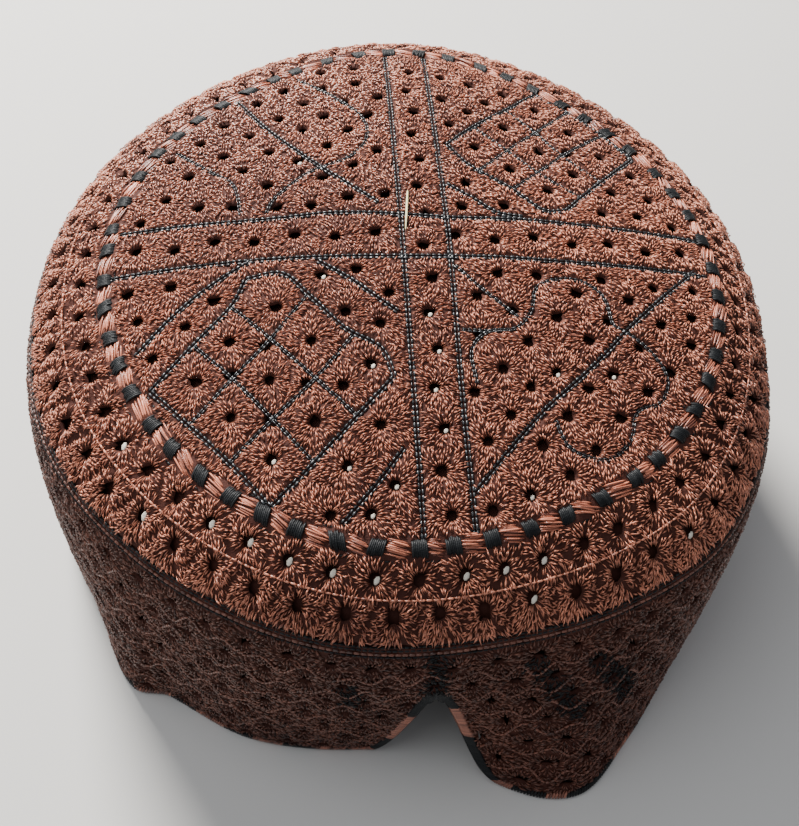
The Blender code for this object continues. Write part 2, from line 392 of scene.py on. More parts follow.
reliefSpec = {"base": 0.1, "rim": 0.8, "swell": 2.2, "puff": 0.75, "dip": 0.3,
              "dipWidth": 1.6, "groove": 0.55, "grooveFlat": 0.35, "grooveWidth": 1.1}


# Height of the cloth: low at an eyelet's rim, a puff round it, a dip where two cells meet
# and a groove along each sewn line
def relief(near, gap):
    spec = reliefSpec
    puff = smoothStep((near[:, 0] - spec["rim"]) / spec["swell"])
    dip = 1 - smoothStep((near[:, 1] - near[:, 0]) / spec["dipWidth"])
    groove = 1 - smoothStep((gap - spec["grooveFlat"]) / spec["grooveWidth"])
    return (spec["base"] + spec["puff"] * puff - spec["dip"] * dip
            - spec["groove"] * groove)


def addNode(tree, kind, **values):
    node = tree.nodes.new(kind)
    for key, value in values.items():
        setattr(node, key, value)
    return node


# Thread finish: fine fibres and slow drifts of shade from wear, as a colour, a roughness
# and a normal
def buildThreadGroup():
    group = bpy.data.node_groups.new("threadFinish", "ShaderNodeTree")
    face = group.interface
    for name, value in (("Fibre Scale", 2600.0), ("Fibre Depth", 0.35), ("Drift Scale", 28.0),
                        ("Tint", 0.5), ("Shine", 0.35)):
        socket = face.new_socket(name, in_out="INPUT", socket_type="NodeSocketFloat")
        socket.default_value = value
    for name, way, kind in (("Dark", "INPUT", "Color"), ("Light", "INPUT", "Color"),
                            ("Color", "OUTPUT", "Color"), ("Roughness", "OUTPUT", "Float"),
                            ("Normal", "OUTPUT", "Vector")):
        face.new_socket(name, in_out=way, socket_type="NodeSocket" + kind)
    kinds = {"into": "NodeGroupInput", "out": "NodeGroupOutput",
             "where": "ShaderNodeTexCoord", "fibre": "ShaderNodeTexNoise",
             "drift": "ShaderNodeTexNoise", "total": "ShaderNodeMath",
             "spread": "ShaderNodeMapRange", "mix": "ShaderNodeMix",
             "rough": "ShaderNodeMath", "bump": "ShaderNodeBump"}
    nodes = {name: addNode(group, kind) for name, kind in kinds.items()}
    nodes["total"].operation = nodes["rough"].operation = "MULTIPLY_ADD"
    nodes["mix"].data_type = "RGBA"
    for name, socket, value in (("fibre", "Detail", 2), ("drift", "Detail", 3),
                                ("total", 1, 0.9), ("spread", "From Min", 0.35),
                                ("spread", "From Max", 1.55), ("rough", 1, 0.3),
                                ("bump", "Distance", 0.0003)):
        nodes[name].inputs[socket].default_value = value
    for source, output, target, socket in (
            ("where", "Object", "fibre", "Vector"), ("where", "Object", "drift", "Vector"),
            ("into", "Fibre Scale", "fibre", "Scale"),
            ("into", "Drift Scale", "drift", "Scale"),
            ("drift", "Fac", "total", 0), ("into", "Tint", "total", 2),
            ("total", 0, "spread", "Value"), ("spread", "Result", "mix", "Factor"),
            ("into", "Dark", "mix", "A"), ("into", "Light", "mix", "B"),
            ("mix", "Result", "out", "Color"), ("fibre", "Fac", "rough", 0),
            ("into", "Shine", "rough", 2), ("rough", 0, "out", "Roughness"),
            ("into", "Fibre Depth", "bump", "Strength"), ("fibre", "Fac", "bump", "Height"),
            ("bump", "Normal", "out", "Normal")):
        group.links.new(nodes[source].outputs[output], nodes[target].inputs[socket])
    return group


threadGroup = buildThreadGroup()


def threadMaterial(name, dark, light, shine, depth=0.35, tinted=True, specular=0.5):
    material = bpy.data.materials.new(name)
    material.use_nodes = True
    tree = material.node_tree
    shader = tree.nodes["Principled BSDF"]
    group = addNode(tree, "ShaderNodeGroup", node_tree=threadGroup)
    group.inputs["Dark"].default_value = (*dark, 1)
    group.inputs["Light"].default_value = (*light, 1)
    group.inputs["Shine"].default_value = shine
    group.inputs["Fibre Depth"].default_value = depth
    if tinted:
        layer = addNode(tree, "ShaderNodeAttribute", attribute_name="tint")
        tree.links.new(layer.outputs["Fac"], group.inputs["Tint"])
    for output, socket in (("Color", "Base Color"), ("Roughness", "Roughness"),
                           ("Normal", "Normal")):
        tree.links.new(group.outputs[output], shader.inputs[socket])
    shader.inputs["Specular IOR Level"].default_value = specular
    return material


copper = threadMaterial("copperThread", (0.17, 0.047, 0.027), (0.82, 0.32, 0.19), 0.2,
                        specular=0.8)
# The wall's thread is painted darker than the crown's thread: painted shade of the wall, which
# lies in shade; the real thread may be the same
shadedBandCopper = threadMaterial("shadedBandThread", (0.028, 0.01, 0.0075), (0.2, 0.071, 0.043), 0.24,
                            specular=0.55)
edgeCopper = threadMaterial("edgeThread", (0.07, 0.026, 0.019), (0.5, 0.2, 0.13), 0.25)
satin = threadMaterial("satinThread", (0.1, 0.026, 0.016), (0.74, 0.25, 0.14), 0.2,
                       specular=0.7)
blackThread = threadMaterial("blackThread", (0.004, 0.005, 0.006), (0.018, 0.02, 0.021), 0.35,
                             specular=0.22)
glossBlack = threadMaterial("glossBlack", (0.005, 0.006, 0.007), (0.026, 0.03, 0.033), 0.16,
                            specular=0.8)
ground = threadMaterial("groundCloth", (0.03, 0.01, 0.008), (0.09, 0.031, 0.021), 0.6,
                        depth=0.6, tinted=False, specular=0.15)
cotton = threadMaterial("creamCotton", (0.62, 0.57, 0.45), (0.86, 0.83, 0.74), 0.6,
                        depth=0.5, tinted=False, specular=0.2)

linePitch = 2.0

# The crown's pattern, in plan millimetres: x to the right and y to the back
crownLayout = {
    # the cross: its two bands' edges, from one end to the other
    "upLeft": [(-5, 70), (-4, 32), (-3, 6), (-2, -18), (-1, -38), (0, -55), (1, -72)],
    "upRight": [(5, 70), (6, 41), (7, 18), (8, -1), (9, -28), (10, -46), (12, -71)],
    "acrossBack": [(-68, 7), (-35, 6), (-17, 7), (8, 6), (25, 7), (45, 8), (70, 10)],
    "acrossFront": [(-70, -6), (-49, -6), (-26, -6), (-3, -6), (20, -5), (39, -4), (71, -1)],
    "bandPitch": 9.2,
    "bandEnd": 4,
    "bandSway": 0.7,
    "leastGap": 5,
}


def makeCrossEyelets():
    places = []
    for first, second, runAxis in (("upLeft", "upRight", 1), ("acrossBack", "acrossFront", 0)):
        first, second = (smoothLine(crownLayout[key], 1) for key in (first, second))
        end = crownLayout["bandEnd"]
        low = max(first[:, runAxis].min(), second[:, runAxis].min()) + end
        high = min(first[:, runAxis].max(), second[:, runAxis].max()) - end
        at = np.arange(low, high, crownLayout["bandPitch"])
        side = []
        for line in (first, second):
            line = line[np.argsort(line[:, runAxis])]
            side.append(np.interp(at, line[:, runAxis], line[:, 1 - runAxis]))
        sway = crownLayout["bandSway"] * (-1.0) ** np.arange(len(at))
        pair = np.empty((len(at), 2))
        pair[:, runAxis] = at
        pair[:, 1 - runAxis] = (side[0] + side[1]) / 2 + sway
        places.append(pair)
    gap = places[1][:, None] - places[0]
    clear = np.hypot(gap[..., 0], gap[..., 1]).min(1) > crownLayout["leastGap"]
    return np.vstack((places[0], places[1][clear]))


# Eyelets of the quarters, in plan millimetres
quarterEyelets = {
    "frontLeft": [(-31, -19), (-41, -27), (-23, -28), (-48, -36), (-32, -37), (-16, -39),
                  (-40, -45), (-22, -47), (-31, -55), (-10, -34), (-8, -24), (-21, -11),
                  (-45, -16), (-55, -11), (-62, -19), (-51, -22), (-58, -29), (-15, -57),
                  (-5, -61), (-10, -67), (-8, -48)],
    "frontRight": [(19, -34), (25, -27), (31, -34), (25, -38), (32, -20), (37, -13),
                   (39, -25), (38, -37), (44, -33), (52, -36), (45, -43), (33, -44),
                   (39, -51), (27, -51), (33, -57), (51, -25), (57, -18), (64, -22),
                   (58, -30), (14, -16), (14, -26), (15, -51), (28, -9), (24, -62)],
    "backLeft": [(-26, 48), (-32, 42), (-21, 42), (-26, 37), (-15, 36), (-20, 30), (-34, 29),
                 (-27, 25), (-14, 23), (-8, 28), (-45, 29), (-39, 36), (-40, 23), (-53, 23),
                 (-58, 30), (-50, 12), (-42, 11), (-34, 17), (-21, 19), (-15, 12), (-10, 42)],
    "backRight": [(15, 45), (10, 39), (25, 55), (20, 50), (9, 60), (46, 13), (55, 14),
                  (16, 31), (24, 40), (33, 50), (24, 24), (32, 32), (41, 42), (33, 18),
                  (40, 25), (48, 34)],
    "spacing": 7.6,
    "lineClear": 2.7,
    "ringClear": 4.4,
    "netReach": 72,
    "netStep": 1.6,
    "netLean": 0.37,
}

# Sewn lines of the quarters, the main ones thick and the others thin
motifLines = {
    # front left: a net of nine diamonds under a scalloped edge
    "netLeftSide": [(-58, -37), (-49, -27), (-41, -18), (-38, -11)],
    "netTop": [(-38, -11), (-30, -10), (-24, -16), (-16, -25), (-8, -30), (-5, -37)],
    "netRightSide": [(-5, -37), (-13, -46), (-22, -56), (-31, -65)],
    "netFoot": [(-58, -37), (-49, -46), (-40, -55), (-31, -65)],
    "cornerBack": [(-37, -6), (-46, -12), (-54, -19), (-62, -28)],
    "cornerFront": [(-16, -69), (-9, -61), (-3, -53)],
    # one slanted line at the front right and one at the back left
    "slantFrontRight": [(12, -62), (26, -45), (39, -32), (52, -17), (68, 0)],
    "slantBackLeft": [(-43, 52), (-34, 37), (-22, 23), (-8, 10)],
    # back right: the same net, half a turn round, and what lies beside both nets
    "netBackSide": [(57, 36), (47, 24), (41, 17), (37, 12)],
    "netBackFoot": [(57, 36), (50, 44), (42, 52), (34, 58)],
    "netBackEnd": [(34, 58), (25, 48), (16, 39), (9, 31)],
    "netBackTop": [(37, 12), (31, 11), (24, 17), (14, 24), (9, 31)],
    "cornerNet": [(-22, -7), (-15, -12), (-9, -17), (-4, -21)],
    "cornerNetBack": [(26, 8), (20, 8.5), (15, 12), (8, 17)],
}
thinLines = {
    "netA": [(-49, -27), (-40, -36), (-31, -46), (-22, -56)],
    "netB": [(-41, -18), (-32, -27), (-22, -37), (-13, -46)],
    "netC": [(-49, -46), (-40, -36), (-32, -27), (-24, -16)],
    "netD": [(-40, -55), (-31, -46), (-22, -37), (-14, -27)],
    "flowerNear": [(13, -38), (12, -30), (16, -25), (22, -24), (26, -19), (28, -12),
                   (36, -9), (43, -12), (45, -20)],
    "flowerFar": [(45, -20), (52, -24), (57, -31), (55, -38), (49, -41), (47, -48),
                  (41, -53), (33, -51), (30, -45)],
    "spurFrontRight": [(9, -8), (15, -14), (23, -21)],
    "lobeBackLeft": [(-28, 60), (-18, 50), (-11, 40), (-11, 31), (-16, 25), (-24, 21),
                     (-32, 13), (-34, 8)],
    "lobeBackLeftOuter": [(-57, 33), (-48, 24), (-42, 18), (-40, 8)],
    "netE": [(47, 24), (38, 32), (32, 40), (25, 48)],
    "netF": [(41, 17), (31, 24), (24, 31), (16, 39)],
    "netG": [(50, 44), (38, 32), (31, 24), (24, 17)],
    "netH": [(42, 52), (32, 40), (24, 31), (16, 22)],
    "flowerLeft": [(10, -25), (16, -25), (22, -24)],
}


# The named eyelets, then more from a fine net wherever the spacing leaves room
def makeQuarterEyelets(fixed, lines):
    named = np.vstack([quarterEyelets[key] for key in
                       ("frontLeft", "frontRight", "backLeft", "backRight")])
    places = [*fixed, *named.astype(float)]
    reach, step = quarterEyelets["netReach"], quarterEyelets["netStep"]
    line = np.arange(-reach, reach + 1, step)
    x, y = np.meshgrid(line, line)
    net = np.stack((x + y * quarterEyelets["netLean"] % step, y), -1).reshape(-1, 2)
    inside = ringAt(azimuthOf(*net.T)) - quarterEyelets["ringClear"]
    net = net[np.hypot(*net.T) < inside]
    net = net[lineGap(net, lines) > quarterEyelets["lineClear"]]
    for spot in net:
        gap = np.asarray(places) - spot
        if np.hypot(gap[:, 0], gap[:, 1]).min() > quarterEyelets["spacing"]:
            places.append(spot)
    return np.array(places)[len(fixed):]


# Two rows of eyelets on the shoulder, set across from each other in turn
shoulder = {"count": 54, "rows": (0.24, 0.72), "midline": 0.49, "ringClear": 2.8,
            "bothClear": 5.2, "wander": 0.35}


def shoulderPoint(azimuth, share):
    ring, seam = ringAt(azimuth), seamAt(azimuth)
    return planPoint(azimuth, ring + shoulder["ringClear"]
                     + (seam - ring - shoulder["bothClear"]) * share)


def makeShoulderEyelets():
    turn = np.arange(shoulder["count"]) * 360 / shoulder["count"]
    half = 180 / shoulder["count"]
    inner = shoulderPoint(turn, shoulder["rows"][0])
    outer = shoulderPoint(turn + half, shoulder["rows"][1])
    places = np.vstack((inner, outer))
    return places + rng.normal(0, shoulder["wander"], places.shape)


def ringPoint(azimuth, offset):
    return planPoint(azimuth, ringAt(azimuth) + offset)


# Shoulder lines: a ridge round its middle, and grooves that zigzag on both sides of it
def makeShoulderLines():
    count = shoulder["count"]
    turn = (np.arange(2 * count + 1) + 0.5) * 180 / count
    odd = np.arange(len(turn)) % 2
    mid = shoulderPoint(np.arange(0, 361, 2.0), shoulder["midline"])
    upper = shoulderPoint(turn, np.where(odd, shoulder["midline"], 0.0))
    lower = shoulderPoint(turn, np.where(odd, 1.0, shoulder["midline"]))
    return mid, [upper, lower]


bandLines = [smoothLine(crownLayout[key], linePitch)
             for key in ("upLeft", "upRight", "acrossBack", "acrossFront")]
mainLines = [smoothLine(points, linePitch) for points in motifLines.values()]
fineLines = [smoothLine(points, linePitch) for points in thinLines.values()]
shoulderMid, shoulderGrooves = makeShoulderLines()
crossEyelets = makeCrossEyelets()
crownEyelets = np.vstack((crossEyelets,
                          makeQuarterEyelets(crossEyelets, bandLines + mainLines),
                          makeShoulderEyelets()))
print("crown eyelets", len(crownEyelets))

# The wall's pattern: rows of cells with an eyelet in each, over unrolled length and height
wallLayout = {"cells": 62, "rows": 7, "top": 62.5, "rowStep": 9.4, "wander": 0.45,
              "hemClear": 0.5, "highest": 67.6, "eyeletClear": 4.6, "stitchClear": 3.0,
              "edgeSteps": (60, 180)}


def wallWrap(points):
    wrapped = points.copy()
    wrapped[:, 0] = (wrapped[:, 0] + wallPeriod / 2) % wallPeriod - wallPeriod / 2
    return wrapped


edgeFlat = unroll(freeEdge(*wallLayout["edgeSteps"]))
edgeFlat = np.vstack((edgeFlat - (wallPeriod, 0), edgeFlat, edgeFlat[:1] + (wallPeriod, 0)))
hemLines = [edgeFlat[::2]]


# Which points lie on the wall, at least a margin from its free edge
def wallKeep(margin):
    def keep(points):
        points = wallWrap(points)
        height = points[:, 1]
        above = height > hemHeight(rollUp(points[:, 0])) + wallLayout["hemClear"]
        return above & (lineGap(points, hemLines) > margin) & (height < wallLayout["highest"])
    return keep


def makeWallEyelets():
    pitch = wallPeriod / wallLayout["cells"]
    row, cell = (axis.ravel() for axis in np.meshgrid(np.arange(wallLayout["rows"]),
                                                      np.arange(wallLayout["cells"])))
    places = np.column_stack(((cell + row % 2 / 2) * pitch - wallPeriod / 2,
                              wallLayout["top"] - row * wallLayout["rowStep"]))
    places = places + rng.normal(0, wallLayout["wander"], places.shape)
    return places[wallKeep(wallLayout["eyeletClear"])(places)]


wallEyelets = makeWallEyelets()
print("wall eyelets", len(wallEyelets))


# Parts of a line where keep holds, as lines of their own
def clipLine(line, keep, pitch):
    line = resample(line, pitch)
    good = keep(line)
    cuts = np.flatnonzero(np.diff(good.astype(int))) + 1
    parts = np.split(np.arange(len(line)), cuts)
    return [line[part] for part in parts if good[part[0]] and len(part) > 2]


# Ridges between the rows are cosines, turned over from row to row so that they nearly meet.
# Each wander holds its turns round the wall, its shift from row to row and its size
ridgeLayout = {"steps": 8, "clear": 3.6, "pitch": 1.5, "swing": 0.3, "leastSwing": 0.8,
               "swingWander": (23, 2, 0.35), "sideWander": (16, 1, 0.5),
               "driftWanders": ((11, 1, 0.8), (29, 3, 0.4))}


def makeWallRidges():
    spec = ridgeLayout
    pitch = wallPeriod / wallLayout["cells"]
    x = np.linspace(-wallPeriod / 2, wallPeriod / 2, spec["steps"] * wallLayout["cells"] + 1)
    turn = 2 * np.pi * x / wallPeriod

    def wander(row, turns, shift, size):
        return size * np.sin(turns * turn + shift * row)

    lines = []
    for row in range(1, wallLayout["rows"] + 1):
        base = wallLayout["top"] + (0.5 - row) * wallLayout["rowStep"]
        swing = spec["swing"] * wallLayout["rowStep"] * (
            spec["leastSwing"] + wander(row, *spec["swingWander"]))
        sway = (-1) ** row * swing * np.cos(2 * np.pi * x / pitch
                                            + wander(row, *spec["sideWander"]))
        drift = sum(wander(row, *values) for values in spec["driftWanders"])
        lines += clipLine(np.column_stack((x, base + sway + drift)), wallKeep(spec["clear"]),
                          spec["pitch"])
    return lines


wallRidges = makeWallRidges()
clothSpec = {"crownStep": 1.15, "crownRadius": 91, "seamClear": 0.1, "wallStep": 1.3,
             "wallRows": 52, "wallColumns": (90, 390), "wallTop": 70.4, "hemInset": 2.4,
             "lean": 0.5,
             "hole": 1.25, "cut": 0.74, "rimReach": 1.75, "thickness": 0.9, "below": 0.35}


# Grid corners within an eyelet go, with their faces, and the corners left round it move
# onto its circle
def cutEyelets(flat, faces, centres, step, period=None):
    index, near = nearestCentres(flat, centres, period)
    inner = near[:, 0] < step * clothSpec["cut"]
    faces = faces[~inner[faces].any(1)]
    edges = np.vstack([faces[:, [k, (k + 1) % 4]] for k in range(4)])
    edges.sort(axis=1)
    pairs, count = np.unique(edges, axis=0, return_counts=True)
    move = np.zeros(len(flat), bool)
    move[pairs[count == 1].ravel()] = True
    move &= (near[:, 0] < step * clothSpec["rimReach"]) & ~inner
    gap = flat[move] - centres[index[move]]
    if period:
        gap[:, 0] = (gap[:, 0] + period / 2) % period - period / 2
    flat = flat.copy()
    flat[move] += unit(gap) * clothSpec["hole"] - gap
    near[move, 0] = clothSpec["hole"]
    used = np.unique(faces)
    renumber = np.zeros(len(flat), int)
    renumber[used] = np.arange(len(used))
    return flat[used], renumber[faces], near[used]


def addCloth(name, surface, flat, faces, centres, lines, step, slot, node, period=None):
    flat, faces, near = cutEyelets(flat, faces, centres, step, period)
    gap = lineGap(wallWrap(flat) if period else flat, lines)
    height = relief(near, gap) - clothSpec["below"]
    points = surface(flat) + surfaceNormal(surface, flat) * height[:, None]
    cloth = makeObject(name, points, faces, ground)
    thicken(cloth, clothSpec["thickness"])
    place(cloth, slot, node)


# A square grid drawn onto a disc: each square ring of the grid becomes a round one
def makeCrownCloth(lines):
    count = round(2 * clothSpec["crownRadius"] / clothSpec["crownStep"])
    line = np.linspace(-1, 1, count + 1)
    a, b = np.meshgrid(line, line, indexing="ij")
    wide = np.abs(a) >= np.abs(b)
    angle = np.where(wide, np.pi / 4 * b / np.where(a == 0, 1, a),
                     np.pi / 2 - np.pi / 4 * a / np.where(b == 0, 1, b))
    signed = np.where(wide, a, b)
    x, y = signed * np.cos(angle), signed * np.sin(angle)
    seam = seamAt(azimuthOf(x, y)) - capShape["seamTuck"] - clothSpec["seamClear"]
    flat = np.stack((x * seam, y * seam), -1).reshape(-1, 2)
    addCloth("crownGround", crownSurface, flat, gridFaces(count + 1, count + 1), crownEyelets,
             lines, clothSpec["crownStep"], "crown_cloth", "crown_panel")


# Rows run from the seam to the hem; a column leans from its place by azimuth at the seam
# towards its place by length along the hem
def makeWallCloth():
    edge = freeEdge(*clothSpec["wallColumns"])
    lower = insetEdge(edge, clothSpec["hemInset"])
    flat = unroll(edge)
    closed = np.vstack((flat, flat[:1] + (wallPeriod, 0)))
    steps = np.hypot(*np.diff(closed, axis=0).T)
    share = np.concatenate(([0], np.cumsum(steps)[:-1])) / steps.sum()
    centre = np.interp(capShape["notchAzimuth"], edge[:, 0], share)
    evenly = capShape["notchAzimuth"] + 360 * (share - centre)
    upper = (1 - clothSpec["lean"]) * edge[:, 0] + clothSpec["lean"] * evenly
    t = np.linspace(0, 1, clothSpec["wallRows"] + 1)[:, None]
    azimuth = upper + (lower[:, 0] - upper) * t
    height = clothSpec["wallTop"] + (lower[:, 1] - clothSpec["wallTop"]) * t
    flat = np.stack((np.radians(azimuth) * capShape["unrolledRadius"], height), -1)
    faces = gridFaces(len(t), len(edge), wrap=True)
    addCloth("bandGround", wallSurface, flat.reshape(-1, 2), faces, wallEyelets,
             hemLines, clothSpec["wallStep"], "band_cloth", "side_band", wallPeriod)


crownGrooves = bandLines + mainLines + fineLines
makeCrownCloth(crownGrooves + shoulderGrooves)
makeWallCloth()
print("ground cloth done")

crownFlower = {"rings": 9, "first": 1.65, "ringStep": 1.15, "spacing": 0.46, "length": 1.75,
               "hole": 0.8, "grown": (0.1, 0.45), "angleSpread": 1.8, "radiusSpread": 0.36,
               "lean": 0.24, "width": 0.44}
shoulderFlower = dict(crownFlower, rings=5, first=2.3, length=1.4, lean=0.5)
wallFlower = dict(crownFlower, rings=6, ringStep=1.45, spacing=0.61, length=2.1, width=0.53,
                  lean=0.3, grown=(0.0, 0.4))
stitchSpec = {"sink": 0.16, "liftSpread": 0.07, "widthSpread": 0.15, "arch": 0.26,
              "tint": 0.5, "tintSpread": 0.27, "darkReach": 2.6, "ragged": 0.7}


def stitchTint(count, middleTint, spread):
    return np.clip(rng.normal(middleTint, spread, count), 0, 1)


def addFlowers(name, surface, centres, spec, keep, lines, material, slot, period, pieces,
               dark=None):
    start, end = flower(centres, spec, keep, period)
    count = len(start)
    mid = (start + end) / 2
    near = nearestCentres(mid, centres, period)[1]
    gap = lineGap(wallWrap(mid) if period else mid, lines)
    lift = relief(near, gap) - stitchSpec["sink"] + rng.normal(0, stitchSpec["liftSpread"],
                                                               count)
    radius = spec["width"] / 2 * (1 + rng.normal(0, stitchSpec["widthSpread"], count))
    tint = stitchTint(count, stitchSpec["tint"], stitchSpec["tintSpread"])
    group = np.arange(count) % pieces
    # stitches near the dark lines are sewn in black and make a piece of their own
    if dark:
        ragged = rng.normal(0, stitchSpec["ragged"], count)
        group[lineGap(wallWrap(mid), dark) < stitchSpec["darkReach"] + ragged] = pieces
    for part in range(group.max() + 1):
        some = group == part
        thing = strands(f"{name}{part + 1}", surface, start[some], end[some], lift[some],
                        stitchSpec["arch"], radius[some], grainForm,
                        blackThread if part == pieces else material, tint[some])
        place(thing, slot)
    print(name, count)


# Room that the crown's stitches leave beside the ring, the seam and each kind of line
clearance = {"ring": 2.05, "seam": 2.1, "mainLines": 0.72, "fineLines": 0.42,
             "grooves": 0.28, "shoulder": 8}


def crownKeep(points):
    azimuth, radius = azimuthOf(*points.T), np.hypot(*points.T)
    clear = np.abs(radius - ringAt(azimuth)) > clearance["ring"]
    clear &= radius < seamAt(azimuth) - clearance["seam"]
    for lines, key in ((bandLines + mainLines, "mainLines"), (fineLines, "fineLines"),
                       (shoulderGrooves, "grooves")):
        clear &= lineGap(points, lines) > clearance[key]
    return clear


addFlowers("crownStitches", crownSurface, crownEyelets, crownFlower, crownKeep,
           crownGrooves + shoulderGrooves, copper, "crown_cloth", None, 2)


# The shoulder is steep, so stitches set out in plan lie far apart there: a second set
def shoulderKeep(points):
    seam = seamAt(azimuthOf(*points.T))
    return crownKeep(points) & (np.hypot(*points.T) > seam - clearance["shoulder"])


addFlowers("shoulderStitches", crownSurface, crownEyelets, shoulderFlower, shoulderKeep,
           crownGrooves + shoulderGrooves, copper, "crown_cloth", None, 1)

# Slanted black bands on the right flap, a patch left of the notch and one above it
blackBands = [[(28, 60), (34, 47), (39, 35)], [(43, 54), (49, 42), (53, 31)],
              [(-14, 52), (-13, 43)], [(5, 67), (6, 58), (6, 50)]]
addFlowers("bandStitches", wallSurface, wallEyelets, wallFlower,
           wallKeep(wallLayout["stitchClear"]), hemLines, shadedBandCopper, "band_cloth",
           wallPeriod, 2, [smoothLine(points, linePitch) for points in blackBands])

# Black chain-stitched lines: rows of links side by side
mainChain = {"pitch": 1.3, "radius": 0.35, "offsets": (-0.4, 0.4), "lift": 0.0,
             "arch": 0.28}
thinChain = {"pitch": 1.2, "radius": 0.25, "offsets": (-0.26, 0.26), "lift": 0.0,
             "arch": 0.25}
ridgeChain = {"pitch": 1.5, "radius": 0.26, "offsets": (0.0,), "lift": 0.4, "arch": 0.35}


def chainLinks(line, offset, overlap=0.12):
    run = np.gradient(line, axis=0)
    side = unit(np.column_stack((-run[:, 1], run[:, 0])))
    moved = line + side * offset
    half = (moved[1:] - moved[:-1]) * overlap
    return moved[:-1] - half, moved[1:] + half


def addChains(name, surface, lines, spec, material, slot, tint=0.5):
    pairs = [chainLinks(resample(line, spec["pitch"]), offset)
             for line in lines for offset in spec["offsets"]]
    start, end = (np.vstack(ends) for ends in zip(*pairs))
    radius = spec["radius"] * (1 + rng.normal(0, 0.08, len(start)))
    place(strands(name, surface, start, end, spec["lift"], spec["arch"], radius, beadForm,
                  material, stitchTint(len(start), tint, stitchSpec["tintSpread"])), slot)


addChains("crossChains", crownSurface, bandLines, mainChain, glossBlack, "piping_chain")
addChains("motifChains", crownSurface, mainLines, mainChain, glossBlack, "piping_chain")
addChains("fineChains", crownSurface, fineLines, thinChain, glossBlack, "piping_chain")
addChains("shoulderRidge", crownSurface, [shoulderMid], ridgeChain, copper, "crown_cloth")
addChains("bandRidges", wallSurface, wallRidges,
          dict(ridgeChain, pitch=1.3, radius=0.36, lift=0.5), shadedBandCopper, "band_cloth", 0.7)
print("lines done")

# The ring: copper strands laid along it, tied down by black knots
ringSpec = {"knots": 55, "strands": 15, "halfWidth": 2.3, "rise": 0.85, "inset": 0.35,
            "sink": 0.15, "arch": 0.4, "strandRadius": 0.22, "twist": 0.55, "pinch": 0.9,
            "reach": 2.2, "ends": (0.04, 0.3), "knotShare": 0.34, "knotStrands": 8,
            "knotReach": 2.0, "knotLift": 0.05, "knotLean": 0.05, "knotRadius": 0.3,
            "knotSink": 0.1, "tint": (0.5, 0.36), "knotTint": (0.35, 0.25), "edge": 2.4,
            "edgeStep": 1.5, "edgeRadius": 0.24, "padColumns": 220, "padRows": 7,
            "padDepth": 0.5}
# How far the ring's parts wander: in shares of a step, in millimetres and in shares
ringSpread = {"knot": 0.06, "place": 0.16, "height": 0.14, "twist": 0.3, "oneTwist": 0.15,
              "girth": 0.15, "knotReach": 0.08}


def makeRing():
    spec, spread = ringSpec, ringSpread
    knots, strandCount, inset = spec["knots"], spec["strands"], spec["inset"]
    step = 360 / knots
    knot = (np.arange(knots) + rng.normal(0, spread["knot"], knots)) * step
    # one strand's place across the ring, and the arch of the bundle's section over it
    offset = np.linspace(-1, 1, strandCount) * (spec["halfWidth"] - inset)
    high = spec["rise"] * np.sqrt(1 - (offset / spec["halfWidth"]) ** 2) - inset
    first = np.repeat(knot, strandCount)
    after = np.repeat(np.append(knot[1:], knot[0] + 360), strandCount)
    count = len(first)
    offset = np.tile(offset, knots) + rng.normal(0, spread["place"], count)
    high = np.tile(high, knots) + rng.normal(0, spread["height"], count)
    slant = np.repeat(rng.normal(spec["twist"], spread["twist"], knots), strandCount)
    slant = slant + rng.normal(0, spread["oneTwist"], count)
    early, late = (rng.uniform(*spec["ends"], count) * step for _ in range(2))
    start, end = (ringPoint(azimuth, np.clip(offset * spec["pinch"] + side * slant,
                                             -spec["reach"], spec["reach"]))
                  for azimuth, side in ((first + early, -1), (after - late, 1)))
    radius = spec["strandRadius"] * (1 + rng.normal(0, spread["girth"], count))
    place(strands("ringCopper", crownSurface, start, end, high - spec["sink"], spec["arch"],
                  radius, beadForm, satin, stitchTint(count, *spec["tint"])),
          "ring_satin", "crown_ring")
    across = np.linspace(-0.5, 0.5, spec["knotStrands"]) * spec["knotShare"] * step
    angle = (knot[:, None] + across[None, :]).ravel()
    lean = spec["knotLean"] * step * np.repeat(rng.normal(0, 1, knots), spec["knotStrands"])
    reach = spec["knotReach"] * (1 + rng.normal(0, spread["knotReach"], (2, len(angle))))
    place(strands("ringKnots", crownSurface, ringPoint(angle - lean, -reach[0]),
                  ringPoint(angle + lean, reach[1]), spec["knotSink"],
                  spec["rise"] + spec["knotLift"], spec["knotRadius"], cordForm, blackThread,
                  stitchTint(len(angle), *spec["knotTint"])), "piping_chain")
    turn = np.arange(0, 361, spec["edgeStep"])
    edges = [ringPoint(turn, side * spec["edge"]) for side in (-1, 1)]
    chain = dict(thinChain, offsets=(0.0,), radius=spec["edgeRadius"])
    addChains("ringEdges", crownSurface, edges, chain, blackThread, "piping_chain")
    # padding under the strands: a half-round over the ring's path
    turn = np.arange(spec["padColumns"]) * 360 / spec["padColumns"]
    section = [(t * spec["halfWidth"],
                (spec["rise"] - inset) * math.sqrt(max(0, 1 - t * t)) - spec["sink"])
               for t in np.linspace(-1, 1, spec["padRows"])]
    rows = []
    for offset, height in [*section, (0, -spec["padDepth"])]:
        flat = ringPoint(turn, offset)
        rows.append(crownSurface(flat) + surfaceNormal(crownSurface, flat) * height)
    faces = gridFaces(len(rows), len(turn), wrap=True, closeRows=True)[:, ::-1]
    place(makeObject("ringPad", np.vstack(rows), faces, ground), "ring_satin")


makeRing()
print("ring done")


